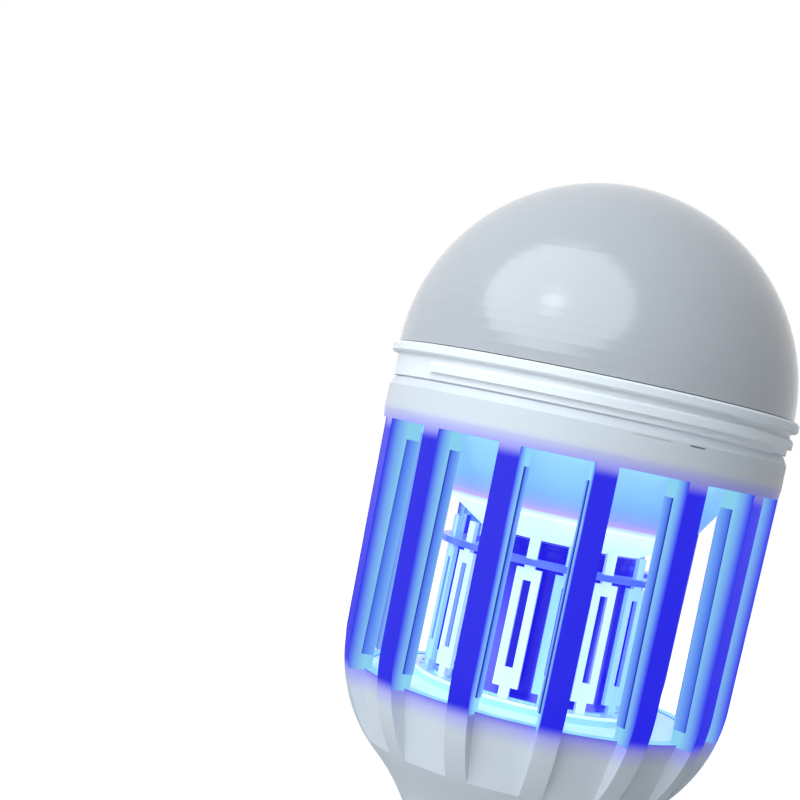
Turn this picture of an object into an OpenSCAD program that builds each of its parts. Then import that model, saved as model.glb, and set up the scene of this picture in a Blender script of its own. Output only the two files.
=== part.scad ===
// Insect killer light bulb: a screw-cap lamp with a milky dome over white LEDs, and under it a
// slotted cage in which violet LEDs draw insects onto a ring of live and earthed metal strips.
// The Z axis is the lamp's axis. The origin is the end of the centre contact, and +Z points to the dome.
// Azimuth 0 of the patterns is the -Y side, the side that the lamp shows to its viewer.

/* [Screw cap] */
// Radius of the thread's crests on the cap
cap_crest_r = 13.1; // [13.0:0.05:13.2]
// Depth of the cap's rolled thread
cap_thread_depth = 1; // [0.8:0.05:1.1]
// Pitch of the cap's thread
cap_pitch = 3.629; // [3.6:0.001:3.65]
// Turns of thread on the cap
cap_turns = 4; // [3.5:0.5:4.5]
// Height at which the metal shell begins
shell_low_z = 4.6; // [4.2:0.1:5]
// Thickness of the shell's sheet metal
shell_wall = 0.4; // [0.3:0.05:0.5]
// Height of the shell's rim, where the housing stands on it
cap_h = 26.4; // [26:0.1:27]
// Radius of the centre contact
contact_r = 4.7; // [4.4:0.1:5]
// Thickness of the centre contact
contact_t = 1.1; // [0.9:0.1:1.4]

/* [Housing] */
// Radius of the bell's neck above the cap
neck_r = 13.8; // [13.6:0.1:14.2]
// Radius of the hollow arc of the bell
neck_arc = 41; // [38:0.5:44]
// How far the bell's shoulder lies inside the cage's upper edge
shoulder_in = 0.9; // [0.6:0.1:1.3]
// Height of the bell's shoulder
shoulder_z = 80.5; // [78:0.5:83]
// Wall of the housing
wall = 1.8; // [1.5:0.1:2]
// Height of the slots' lower ends
slot_low_z = 73.4; // [72:0.2:75]
// Height of the slots' upper ends
slot_top_z = 121.1; // [119:0.1:122]
// Number of bars in the cage
bar_n = 14; // [12:1:16]
// Width of one bar
bar_w = 4.1; // [3:0.1:5]
// Radial depth of the bars at their upper ends
bar_depth = 6.2; // [5.4:0.1:6.4]
// Azimuth of the first bar
bar_phase = 7.9; // [0:0.1:25]
// How far the cage's upper edge lies inside the band
cage_in = 0.25; // [0.1:0.05:0.4]
// How far the band over the slots stands out beyond the collar
band_out = 0.5; // [0.35:0.05:0.8]
// Height of the band's upper face
band_top_z = 129.3; // [128.8:0.1:129.8]
// Chamfer of the band's upper edge
band_chamfer = 1.6; // [0.5:0.1:1.8]
// Depth of the flutes where they run down from the slots
flute_depth = 3.2; // [2.4:0.1:3.6]
// Height at which the flutes run out
flute_low_z = 60; // [58:0.5:62]

/* [Collar and dome] */
// Outer radius of the collar under its flange
collar_r = 38.95; // [38.5:0.05:39.5]
// Wall of the collar
collar_wall = 1.1; // [1:0.05:1.3]
// How far the collar's flange stands out
flange_out = 1.35; // [1:0.05:1.8]
// Height of the collar's flange
flange_h = 1.9; // [1.8:0.1:2]
// Height of the flange's upper face
rim_z = 136; // [135.9:0.1:136.4]
// How far the rib round the collar stands out
rib_out = 0.85; // [0.6:0.05:1]
// Width of the rib
rib_h = 1.9; // [1.4:0.1:2.2]
// Height of the rib's middle
rib_z = 131.9; // [131.6:0.1:132]
// Azimuth at which the rib begins
rib_start = -49; // [-60:1:-30]
// Angle that the rib covers
rib_angle = 290; // [180:10:320]
// Pitch of the collar's thread
collar_pitch = 1.6; // [1.5:0.05:1.7]
// How far the dome stands out beyond the collar
dome_out = 0.29; // [0.1:0.01:0.4]
// Height of the dome's widest level
dome_low_z = 136.2; // [136.1:0.1:136.6]
// Height of the dome's top
dome_top_z = 175.3; // [170:0.1:180]
// Wall of the dome
dome_wall = 1.5; // [1.2:0.1:1.8]

/* [Insect chamber] */
// Gap between the chamber's floor and the bars
floor_in = 1.4; // [1.2:0.1:1.8]
// Thickness of the floor
floor_t = 2; // [1.6:0.1:2.2]
// Radius of the light funnel's mouth
mouth_r = 24.6; // [24:0.1:26]
// Height of the light funnel's mouth
mouth_z = 109.4; // [108.5:0.1:110]
// Radius of the diffuser's lower face
bowl_low_r = 16; // [15:0.1:17]
// Height of the diffuser's lower face
bowl_low_z = 104.4; // [104:0.1:105]
// Outer radius of the tube for the wires
tube_r = 7.5; // [6.5:0.1:8]
// Wall of the tube
tube_wall = 1.2; // [1:0.1:1.5]

/* [Grid] */
// Number of strips in the grid
strip_n = 18; // [14:2:20]
// Radius on which the strips stand
grid_r = 21; // [20.9:0.05:21.2]
// Width of one strip
strip_w = 4.8; // [4.2:0.1:5]
// Width of the tabs at both ends of a strip
tab_w = 2; // [1.6:0.1:2.4]
// Thickness of one strip
strip_t = 0.8; // [0.6:0.05:0.9]
// Width of the slit in a strip
slit_w = 1.6; // [1:0.1:1.8]
// Height of the strips' lower edges
strip_low_z = 77; // [76:0.1:78]
// Height of the upper ring
upper_ring_z = 99.9; // [99.5:0.1:101]
// Thickness of the two insulating rings
ring_t = 1.2; // [1:0.1:1.5]
// Radial width of the two insulating rings
ring_w = 4.4; // [4.2:0.1:4.6]

/* [Lights] */
// Number of white LEDs on the outer circle
led_outer_n = 16; // [8:1:20]
// Number of white LEDs on the inner circle
led_inner_n = 8; // [4:1:10]
// How far the white LED board's edge lies inside the heat plate's
led_board_in = 3.5; // [3:0.1:4.5]
// Thickness of the two LED boards
led_board_t = 1.6; // [1.2:0.1:1.8]
// Number of violet LEDs
uv_n = 6; // [4:1:8]
// Radius of the circle on which the violet LEDs stand
uv_at = 14; // [12:0.5:16]

/* [Driver] */
// Gap between the driver board's edge and the bell
driver_gap = 2; // [1.8:0.1:3]
// Height of the driver board's lower face
driver_z = 61; // [60.5:0.1:61.5]
// Thickness of the driver board
driver_t = 1.6; // [1.2:0.1:1.8]
// Radius of the insulated wires
wire_r = 0.6; // [0.5:0.05:0.8]

/* [Hidden] */
$fn = 96;
eps = 0.01;
over = 1;
fit = 0.15;
bore_fit = 0.05;

// Everything round the lamp's widest part is an offset from the collar's radius.
flange_r = collar_r + flange_out;
rib_r = collar_r + rib_out;
dome_r = collar_r + dome_out;
band_r = collar_r + band_out;
cage_r = band_r - cage_in;
shoulder_r = cage_r - shoulder_in;
bar_in_r = cage_r - bar_depth;
floor_r = bar_in_r - floor_in;

// The bell is two tangent arcs: a hollow one at the neck and a round one at the shoulder.
neck_centre_r = neck_r + neck_arc;
bell_dr = neck_centre_r - shoulder_r;
bell_dz = shoulder_z - cap_h;
shoulder_arc = (bell_dr * bell_dr + bell_dz * bell_dz - neck_arc * neck_arc) / (2 * (neck_arc - bell_dr));
shoulder_centre_r = shoulder_r - shoulder_arc;

// Height at which the two arcs meet on a surface that lies this deep under the outer one.
function meet_z(depth) = cap_h + bell_dz * (neck_arc + depth) / (neck_arc + shoulder_arc);
// Radius of that surface at a height above the meeting of the arcs and under the shoulder.
function shoulder_at(z, depth) =
    shoulder_centre_r + sqrt(pow(shoulder_arc - depth, 2) - pow(shoulder_z - z, 2));

slot_pitch = 360 / bar_n;
floor_top_z = slot_low_z - 0.2;
floor_low_z = floor_top_z - floor_t;
ledge_in_r = floor_r - 1.6;
shelf_top_z = slot_top_z + wall;
thread_turns = 1.25;
thread_h = 0.5 * collar_pitch;
thread_depth = 0.8;
thread_gap = 0.35;
thread_low_z = band_top_z + 0.8;
collar_bore_r = collar_r - collar_wall;
neck_out_r = collar_bore_r - thread_depth - thread_gap;
neck_bore_r = neck_out_r - wall;
shelf_in_r = neck_bore_r - 2.7;
collar_low_z = band_top_z + 0.3;
lip_t = 2.1;
lip_low_z = rim_z - lip_t;
dome_flange_t = 0.9;
dome_flange_top_z = lip_low_z - 0.1;
dome_flange_low_z = dome_flange_top_z - dome_flange_t;
dome_flange_r = collar_bore_r - fit;
dome_spigot_r = dome_flange_r - 0.7;
dome_bore_r = dome_spigot_r - dome_wall;
neck_top_z = dome_flange_low_z - bore_fit;

deck_r = neck_bore_r - 0.4;
deck_in_r = deck_r - wall;
plate_low_z = shelf_top_z + 8.2;
plate_t = 1.6;
plate_top_z = plate_low_z + plate_t;
led_board_r = deck_r - led_board_in;
led_board_top_z = plate_top_z + led_board_t;
led_outer_at = led_board_r - 9;
led_inner_at = led_board_r - 19;
led_size = [3.5, 2.8, 0.8];
uv_led_size = [3.5, 3.5, 0.8];
funnel_floor_z = mouth_z + 3.4;

uv_board_r = mouth_r - 2;
uv_board_low_z = funnel_floor_z - led_board_t;
bowl_wall = 1.2;
bowl_r = mouth_r - wall - fit;
bowl_top_z = uv_board_low_z - 0.1;
tube_top_z = bowl_low_z + 4;
tube_foot_t = 1.2;

base_ring_top_z = floor_top_z + ring_t;
strip_top_z = upper_ring_z - 0.7;
slit_low_z = strip_low_z + 3.6;
slit_top_z = strip_top_z - 2.2;
tab_top_z = upper_ring_z + ring_t + 3.9;
foot_t = 0.6;
feed_out = 1.7;
feed_w = 1;

driver_r = shoulder_at(driver_z, wall) - driver_gap;
driver_top_z = driver_z + driver_t;
driver_part_at = driver_r - 12.5;

// Screws, the pillars they go into, and the holes they pass through.
screw_angles = [30, 150, 270];
screw_head_r = 2.4;
screw_head_h = 1.4;
screw_shank_r = 1.2;
screw_hole_r = 1.5;
screw_hold = 5;
pillar_r = 2.6;
pillar_at = driver_r - 5;
board_screw_at = led_board_r - 4;
lead_hole_r = 3;

shell_root_r = cap_crest_r - cap_thread_depth;
shell_thread_low_z = shell_low_z + 2.2;
lip_in = 1.2;
insulator_r = shell_root_r - lip_in - shell_wall - 0.02;
plug_r = shell_root_r - shell_wall - fit;
plug_low_z = 20;
rivet_r = 1.6;
insulator_top_z = shell_low_z + 1.6;
rivet_top_z = insulator_top_z - 1;

// Turns its children from the -Y side by an azimuth, to the right as the viewer sees it.
module at_azimuth(a) {
    rotate([0, 0, a - 90])
        children();
}

// A ring between two radii and two heights.
module ring(r_in, r_out, z_low, z_top) {
    translate([0, 0, z_low])
        difference() {
            cylinder(h = z_top - z_low, r = r_out);
            translate([0, 0, -over])
                cylinder(h = z_top - z_low + 2 * over, r = r_in);
        }
}

// A disc between two heights.
module disc(r, z_low, z_top) {
    translate([0, 0, z_low])
        cylinder(h = z_top - z_low, r = r);
}

// One straight stretch of wire between two points, with a round end.
module wire_piece(a, b) {
    d = b - a;
    flat = norm([d[0], d[1]]);
    translate(a)
        rotate([0, atan2(flat, d[2]), atan2(d[1], d[0])])
            cylinder(h = norm(d), r = wire_r, $fn = 16);
    translate(b)
        sphere(r = wire_r, $fn = 16);
}

// A wire through a row of points.
module wire(points) {
    for (i = [0:len(points) - 2])
        wire_piece(points[i], points[i + 1]);
}

// A pan-head screw that stands on its head, with the underside of the head at the origin.
module screw(shank_l) {
    translate([0, 0, -screw_head_h])
        difference() {
            cylinder(h = screw_head_h, r = screw_head_r, $fn = 32);
            for (a = [0, 90])
                rotate([0, 0, a])
                    translate([-screw_head_r * 0.6, -0.25, -eps])
                        cube([screw_head_r * 1.2, 0.5, screw_head_h * 0.5]);
        }
    translate([0, 0, -eps])
        cylinder(h = shank_l, r = screw_shank_r, $fn = 32);
}

// Places a child at each of the three screws, on a circle of this radius.
module at_screws(first, radius) {
    for (a = screw_angles)
        rotate([0, 0, first + a])
            translate([radius, 0, 0])
                children();
}

// A short round post or hole between two heights.
module post(r, z_low, z_top) {
    translate([0, 0, z_low])
        cylinder(h = z_top - z_low, r = r, $fn = 32);
}

// A helical ridge. Its section is a trapezoid with its root on r_root and its crest on r_crest,
// and it rises by one pitch for each turn. Both of its ends taper off to nothing.
module ridge(r_root, r_crest, h_root, h_crest, pitch, turns, steps) {
    n = ceil(turns * steps);
    section = function (t) let (
        grow = min(1, t * n / 4, (1 - t) * n / 4),
        tip = r_root + (r_crest - r_root) * max(grow, 0.04)
    ) [[r_root, -h_root / 2], [tip, -h_crest / 2], [tip, h_crest / 2], [r_root, h_root / 2]];
    points = [for (i = [0:n]) let (t = i / n, a = 360 * turns * t)
        for (p = section(t)) [p[0] * cos(a), p[0] * sin(a), p[1] + pitch * turns * t]];
    sides = [for (i = [0:n - 1]) for (k = [0:3]) let (m = (k + 1) % 4)
        each [[4 * i + k, 4 * i + 4 + k, 4 * i + 4 + m], [4 * i + k, 4 * i + 4 + m, 4 * i + m]]];
    ends = [[0, 1, 2], [0, 2, 3], [4 * n + 2, 4 * n + 1, 4 * n], [4 * n + 3, 4 * n + 2, 4 * n]];
    faces = concat(sides, ends);
    inward = r_crest < r_root;
    polyhedron(points, inward ? faces : [for (f = faces) [f[2], f[1], f[0]]]);
}

// Brass button riveted into the end of the insulator.
module centre_contact() {
    color("#c9a45a") {
        intersection() {
            disc(contact_r, 0, contact_t);
            translate([0, 0, 3 * contact_r - 0.15])
                sphere(r = 3 * contact_r);
        }
        disc(rivet_r, contact_t - eps, rivet_top_z);
    }
}

// Black glass cone that holds the centre contact clear of the shell.
module cap_insulator() {
    color("#1c1c20")
        difference() {
            rotate_extrude()
                polygon([[0, contact_t], [contact_r + 0.9, contact_t], [contact_r + 1.6, contact_t + 0.6],
                    [insulator_r, shell_low_z - 0.2], [insulator_r, insulator_top_z],
                    [0, insulator_top_z]]);
            disc(rivet_r + bore_fit, contact_t - over, rivet_top_z);
        }
}

// Nickel-plated shell of thin sheet: turned-in lower edge, rolled thread and plain skirt.
module screw_shell() {
    steps = 36;
    rows = 7;
    low = shell_thread_low_z;
    top = low + cap_pitch * cap_turns;
    ramp = function (x) min(1, max(0, x));
    // Radius of the outer surface: a wave that climbs with the azimuth and fades at both ends.
    outer_at = function (z, a) let (
        lip = lip_in * (1 - ramp((z - shell_low_z) / lip_in)),
        skirt = ramp((z - top) / 1.2),
        fade = ramp((z - low) / 1.5) * ramp((top - z) / 1.5),
        wave = 0.5 - 0.5 * cos((z - low) / cap_pitch * 360 - a)
    ) shell_root_r - lip + cap_thread_depth * max(skirt, wave * fade);
    heights = concat([shell_low_z, shell_low_z + lip_in],
        [for (i = [0:cap_turns * rows]) low + i * cap_pitch / rows], [top + 1.2, cap_h]);
    m = len(heights);
    outer = [for (z = heights) for (j = [0:steps - 1]) let (a = 360 * j / steps, r = outer_at(z, a))
        [r * cos(a), r * sin(a), z]];
    inner = [for (z = heights) for (j = [0:steps - 1]) let (a = 360 * j / steps,
        r = outer_at(z, a) - shell_wall) [r * cos(a), r * sin(a), z]];
    size = m * steps;
    wall_faces = [for (i = [0:m - 2]) for (j = [0:steps - 1]) let (
        k = (j + 1) % steps, p = i * steps + j, q = i * steps + k, u = p + steps, v = q + steps)
        each [[p, v, q], [p, u, v], [size + p, size + q, size + v], [size + p, size + v, size + u]]];
    end_faces = [for (j = [0:steps - 1]) let (k = (j + 1) % steps, t = size - steps)
        each [[j, k, size + k], [j, size + k, size + j],
            [t + j, size + t + k, t + k], [t + j, size + t + j, size + t + k]]];
    color("#b9bcc0")
        polyhedron(concat(outer, inner), concat(wall_faces, end_faces));
}

// White moulding in one piece: neck, bell, bars, band and threaded neck for the collar.
module cage_housing() {
    color("#e8eaec") {
        difference() {
            union() {
                bell_solid(0, shoulder_z);
                cage_wall();
                band();
                disc(plug_r, plug_low_z, cap_h + over);
            }
            bell_hollow();
            disc(plug_r - 1.6, plug_low_z - over, cap_h + 5);
            slots();
        }
        translate([0, 0, thread_low_z])
            ridge(neck_out_r - 0.4, neck_out_r + thread_depth, thread_h * 1.2, thread_h * 0.5, collar_pitch,
                thread_turns, 40);
    }
}

// Everything inside the bell's outer surface, or inside one that lies deeper, up to a height.
module bell_solid(depth, top_z) {
    split_z = meet_z(depth);
    rotate_extrude()
        difference() {
            translate([0, cap_h])
                square([shoulder_at(split_z, depth), split_z - cap_h]);
            translate([neck_centre_r, cap_h])
                circle(r = neck_arc + depth, $fn = 360);
        }
    rotate_extrude()
        intersection() {
            translate([0, split_z])
                square([shoulder_r, top_z - split_z]);
            translate([shoulder_centre_r, shoulder_z])
                circle(r = shoulder_arc - depth, $fn = 360);
        }
}

// Room in the bell, with a bottom over the cap. It is no wider than the floor's ledge, so that the
// wall behind the flutes stays whole.
module bell_hollow() {
    intersection() {
        bell_solid(wall, slot_low_z + over);
        disc(ledge_in_r, cap_h + wall, slot_low_z + over);
    }
    disc(floor_r + fit, floor_low_z, slot_low_z + over);
    disc(bar_in_r, slot_low_z, slot_top_z);
}

// Wall between the bell and the band, out of which the slots are cut.
module cage_wall() {
    rotate_extrude()
        polygon([[bar_in_r - 1, shoulder_z], [shoulder_r, shoulder_z], [cage_r, slot_top_z],
            [bar_in_r - 1, slot_top_z]]);
}

// What is cut away between the bars: the open slots, and under them flutes whose floors slope
// outward until they leave the bell.
module slots() {
    low_r = shoulder_at(flute_low_z, 0);
    top_r = shoulder_at(slot_low_z, 0) - flute_depth;
    slope = (top_r - low_r) / (slot_low_z - flute_low_z);
    foot_z = flute_low_z - 2;
    out_r = band_r + 2;
    difference() {
        rotate_extrude()
            polygon([[low_r - 2 * slope, foot_z], [out_r, foot_z], [out_r, slot_top_z],
                [bar_in_r - over, slot_top_z], [bar_in_r - over, slot_low_z], [top_r, slot_low_z]]);
        for (k = [0:bar_n - 1])
            at_azimuth(bar_phase + k * slot_pitch)
                translate([ledge_in_r - 8, -bar_w / 2, foot_z - over])
                    cube([out_r - ledge_in_r + 9, bar_w, slot_top_z - foot_z + 2 * over]);
    }
}

// Closed band over the slots, its shelf for the funnel, and the neck for the collar.
module band() {
    rotate_extrude()
        polygon([[shelf_in_r, slot_top_z], [cage_r, slot_top_z], [band_r, slot_top_z + 2],
            [band_r, band_top_z - band_chamfer], [band_r - band_chamfer * 0.55, band_top_z],
            [neck_out_r, band_top_z], [neck_out_r, neck_top_z], [neck_bore_r, neck_top_z],
            [neck_bore_r, band_top_z - wall], [band_r - wall, band_top_z - wall],
            [band_r - wall, shelf_top_z], [shelf_in_r, shelf_top_z]]);
}

// Round board that feeds the lamps and the grid.
module driver_board() {
    color("#2e6b3a")
        difference() {
            disc(driver_r, driver_z, driver_top_z);
            at_screws(bar_phase, pillar_at)
                post(screw_hole_r, driver_z - over, driver_top_z + over);
        }
}

// Ferrite core with its winding, under the driver board.
module transformer() {
    color("#d9b13a")
        translate([4, 0, driver_z - 5.5])
            cube([12, 9, 11], center = true);
    color("#3a3a3e")
        difference() {
            translate([4, 0, driver_z - 5.5])
                cube([15, 13, 8], center = true);
            translate([4, 0, driver_z - 5.5])
                cube([11, 10, 9], center = true);
        }
}

// Two upright cans under the driver board.
module smoothing_capacitors() {
    color("#23252b")
        for (a = [115, 245])
            rotate([0, 0, a])
                translate([driver_part_at, 0, driver_z - 8.5]) {
                    cylinder(h = 8.5, r = 3.6, $fn = 48);
                    translate([0, 0, -0.4])
                        cylinder(h = 0.5, r = 3.2, $fn = 48);
                }
}

// Two moulded blocks of the high-voltage multiplier, over the driver board.
module film_capacitors() {
    color("#a3562a")
        for (a = [20, 140])
            rotate([0, 0, a])
                translate([driver_part_at, 0, driver_top_z + 3.4])
                    cube([5, 9, 6.8], center = true);
}

// Three diodes of the multiplier, lying on the driver board.
module hv_diodes() {
    color("#2a2a2e")
        for (a = [80, 200, 260])
            rotate([0, 0, a])
                translate([driver_part_at, 0, driver_top_z + 1.4]) {
                    rotate([90, 0, 0])
                        translate([0, 0, -2.5])
                            cylinder(h = 5, r = 1.3, $fn = 32);
                    for (s = [-1, 1])
                        wire([[0, s * 2.4, 0], [0, s * 3.8, 0], [0, s * 3.8, wire_r - 1.4]]);
                }
}

// Fusible resistor, lying under the driver board.
module fuse_resistor() {
    color("#6f8f5a")
        translate([-driver_part_at, 0, driver_z - 1.9]) {
            rotate([90, 0, 0])
                translate([0, 0, -3])
                    cylinder(h = 6, r = 1.6, $fn = 32);
            for (s = [-1, 1])
                wire([[0, s * 2.9, 0], [0, s * 4.6, 0], [0, s * 4.6, 1.9 - wire_r]]);
        }
}

// Two wires from the cap to the driver board.
module supply_leads() {
    color("#b03030")
        wire([[0, 0, insulator_top_z], [0, 0, cap_h], [-9, 0, cap_h], [-9, 0, driver_z - wire_r]]);
    color("#202024")
        wire([[0, plug_r - 3, insulator_top_z + wire_r], [0, plug_r - 3, driver_z - wire_r]]);
}

// Screws that hold the driver board to the floor's pillars.
module floor_screws() {
    color("#c8c8c8")
        translate([0, 0, driver_z])
            at_screws(bar_phase, pillar_at)
                screw(driver_t + screw_hold);
}

// Floor of the insect chamber, with three pillars for the driver board.
module trap_floor() {
    color("#e4ece4")
        difference() {
            union() {
                disc(floor_r, floor_low_z, floor_top_z);
                at_screws(bar_phase, pillar_at)
                    post(pillar_r, driver_top_z, floor_low_z + eps);
            }
            disc(tube_r + bore_fit, floor_low_z - over, floor_top_z + over);
            at_screws(bar_phase, pillar_at)
                post(screw_shank_r + bore_fit, driver_top_z - over, driver_top_z + screw_hold + 0.2);
            for (p = [live_feed(), earth_feed()])
                translate([p[0], p[1], 0])
                    post(wire_r + fit, floor_low_z - over, floor_top_z + over);
        }
}

// Places where the two high-voltage wires come up under the grid's feet.
function live_feed() = (grid_r - feed_out) * [cos(bar_phase), sin(bar_phase)];
function earth_feed() = (grid_r + feed_out) * [cos(bar_phase + 180), sin(bar_phase + 180)];

// Insulating ring under the grid.
module grid_base_ring() {
    color("#dfeee8")
        difference() {
            ring(grid_r - ring_w / 2, grid_r + ring_w / 2, floor_top_z, base_ring_top_z);
            for (p = [live_feed(), earth_feed()])
                translate([p[0], p[1], 0])
                    post(wire_r + fit, floor_top_z - over, base_ring_top_z + over);
        }
}

// Insulating ring that spaces the strips at their upper ends.
module grid_top_ring() {
    color("#dfeee8")
        difference() {
            ring(grid_r - ring_w / 2, grid_r + ring_w / 2, upper_ring_z, upper_ring_z + ring_t);
            for (k = [0:strip_n - 1])
                at_azimuth(bar_phase + k * 360 / strip_n)
                    translate([grid_r - strip_t / 2 - fit, -tab_w / 2 - fit, upper_ring_z - over])
                        cube([strip_t + 2 * fit, tab_w + 2 * fit, ring_t + 2 * over]);
        }
}

// One stamped strip: a wide plate with a slit, and a narrow tab at each end.
module strip() {
    inner = grid_r - strip_t / 2;
    difference() {
        translate([inner, -strip_w / 2, strip_low_z])
            cube([strip_t, strip_w, strip_top_z - strip_low_z]);
        translate([inner - over, -slit_w / 2, slit_low_z])
            cube([strip_t + 2 * over, slit_w, slit_top_z - slit_low_z]);
    }
    translate([inner, -tab_w / 2, base_ring_top_z])
        cube([strip_t, tab_w, strip_low_z - base_ring_top_z + eps]);
    translate([inner, -tab_w / 2, strip_top_z - eps])
        cube([strip_t, tab_w, tab_top_z - strip_top_z + eps]);
}

// Half of the strips, with feet that join them to a ring inside (-1) or outside (1) their circle.
module grid_half(first, side) {
    feed_r = grid_r + side * feed_out;
    for (k = [first:2:strip_n - 1])
        at_azimuth(bar_phase + k * 360 / strip_n) {
            strip();
            translate([min(feed_r, grid_r), -tab_w / 2, base_ring_top_z])
                cube([feed_out, tab_w, foot_t]);
        }
    ring(feed_r - feed_w / 2, feed_r + feed_w / 2, base_ring_top_z, base_ring_top_z + foot_t);
}

// Strips that carry the voltage, and the ring that feeds them.
module live_grid() {
    color("#c8cdd2")
        grid_half(0, -1);
}

// Earthed strips, and the ring that feeds them.
module earth_grid() {
    color("#c8cdd2")
        grid_half(1, 1);
}

// Two wires from the driver board to the feet of the grid.
module hv_leads() {
    color("#c02828")
        for (p = [live_feed(), earth_feed()])
            wire([[p[0], p[1], driver_top_z + wire_r], [p[0], p[1], base_ring_top_z - wire_r]]);
}

// Clear tube that takes the lamps' wires up through the chamber.
module wire_tube() {
    color("#dff4ff")
        difference() {
            union() {
                disc(tube_r, floor_low_z - 1.5, tube_top_z);
                disc(tube_r + 1.6, floor_top_z, floor_top_z + tube_foot_t);
            }
            disc(tube_r - tube_wall, floor_low_z - 3, tube_top_z + over);
        }
}

// Frosted bowl under the violet LEDs.
module uv_diffuser() {
    color("#d8fff8")
        difference() {
            rotate_extrude()
                polygon([[0, bowl_low_z], [bowl_low_r, bowl_low_z], [bowl_r, mouth_z - 0.6],
                    [bowl_r, bowl_top_z], [bowl_r - bowl_wall, bowl_top_z],
                    [bowl_r - bowl_wall, mouth_z - 0.2], [bowl_low_r - 0.6, bowl_low_z + bowl_wall],
                    [0, bowl_low_z + bowl_wall]]);
            disc(tube_r + bore_fit, bowl_low_z - over, bowl_low_z + bowl_wall + over);
        }
}

// Aluminium board that carries the violet LEDs on its lower face.
module uv_board() {
    color("#e8e8ea")
        ring(lead_hole_r + 0.5, uv_board_r, uv_board_low_z, uv_board_low_z + led_board_t);
}

// Violet LEDs, facing down into the bowl.
module uv_leds() {
    color("#cfc8ff")
        for (k = [0:uv_n - 1])
            rotate([0, 0, 30 + 360 * k / uv_n])
                translate([uv_at, 0, uv_board_low_z - uv_led_size[2] / 2])
                    cube(uv_led_size, center = true);
}

// Moulded funnel that closes the chamber and carries both LED boards.
module light_funnel() {
    color("#eef0f4")
        difference() {
            union() {
                rotate_extrude()
                    polygon([[mouth_r - wall, mouth_z], [mouth_r, mouth_z],
                        [shelf_in_r - 0.4, slot_top_z - 0.6], [shelf_in_r - 0.4, shelf_top_z],
                        [deck_r, shelf_top_z], [deck_r, plate_low_z], [deck_in_r, plate_low_z],
                        [deck_in_r, shelf_top_z + wall], [shelf_in_r - 1.4 - wall, shelf_top_z + wall],
                        [mouth_r + 0.4, funnel_floor_z + wall], [0, funnel_floor_z + wall],
                        [0, funnel_floor_z], [mouth_r - wall, funnel_floor_z]]);
                at_screws(0, board_screw_at)
                    post(pillar_r, shelf_top_z, plate_low_z);
            }
            disc(lead_hole_r + 0.5, funnel_floor_z - over, funnel_floor_z + wall + over);
            at_screws(0, board_screw_at)
                post(screw_shank_r + bore_fit, plate_low_z - screw_hold, plate_low_z + over);
        }
}

// Aluminium plate that spreads the heat of the white LEDs.
module heat_plate() {
    color("#c4c8cc")
        difference() {
            disc(deck_r, plate_low_z, plate_top_z);
            disc(lead_hole_r, plate_low_z - over, plate_top_z + over);
            at_screws(0, board_screw_at)
                post(screw_hole_r, plate_low_z - over, plate_top_z + over);
        }
}

// Round board for the white LEDs.
module led_board() {
    color("#f2f2f0")
        difference() {
            disc(led_board_r, plate_top_z, led_board_top_z);
            disc(lead_hole_r, plate_top_z - over, led_board_top_z + over);
            at_screws(0, board_screw_at)
                post(screw_hole_r, plate_top_z - over, led_board_top_z + over);
        }
}

// White LEDs on two circles.
module white_leds() {
    color("#f0e08a") {
        for (k = [0:led_outer_n - 1])
            rotate([0, 0, 360 * (k + 0.5) / led_outer_n])
                translate([led_outer_at, 0, led_board_top_z + led_size[2] / 2])
                    cube(led_size, center = true);
        for (k = [0:led_inner_n - 1])
            rotate([0, 0, 360 * k / led_inner_n])
                translate([led_inner_at, 0, led_board_top_z + led_size[2] / 2])
                    cube(led_size, center = true);
    }
}

// Screws through the LED board and the heat plate into the funnel's bosses.
module board_screws() {
    color("#c8c8c8")
        translate([0, 0, led_board_top_z])
            at_screws(0, board_screw_at)
                rotate([180, 0, 0])
                    screw(led_board_t + plate_t + screw_hold - 1);
}

// Two wires up the tube to the white LED board.
module led_leads() {
    color("#d8d8d8")
        for (s = [-1, 1])
            wire([[s * 1.4, 0, driver_top_z + wire_r], [s * 1.4, 0, led_board_top_z + wire_r],
                [s * 6, 0, led_board_top_z + wire_r]]);
}

// Threaded collar that holds the dome down: lip, flange, rib and inner thread.
module retaining_collar() {
    lip_in_r = dome_spigot_r + 0.25;
    color("#e8eaec") {
        rotate_extrude()
            polygon([[lip_in_r, lip_low_z], [collar_bore_r, lip_low_z], [collar_bore_r, collar_low_z],
                [collar_r, collar_low_z], [collar_r, rim_z - flange_h],
                [flange_r - 0.3, rim_z - flange_h], [flange_r, rim_z - flange_h + 0.3],
                [flange_r, rim_z - 0.4], [flange_r - 0.4, rim_z], [lip_in_r, rim_z]]);
        at_azimuth(rib_start)
            rotate_extrude(angle = rib_angle)
                polygon([[collar_r - 0.4, rib_z - rib_h / 2], [rib_r, rib_z - rib_h / 2],
                    [rib_r, rib_z + rib_h / 2 - 0.5], [rib_r - 0.5, rib_z + rib_h / 2],
                    [collar_r - 0.4, rib_z + rib_h / 2]]);
        translate([0, 0, thread_low_z])
            rotate([0, 0, 180])
                ridge(collar_bore_r + 0.4, neck_out_r + thread_gap, thread_h * 1.2, thread_h * 0.5,
                    collar_pitch, thread_turns, 40);
    }
}

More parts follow.
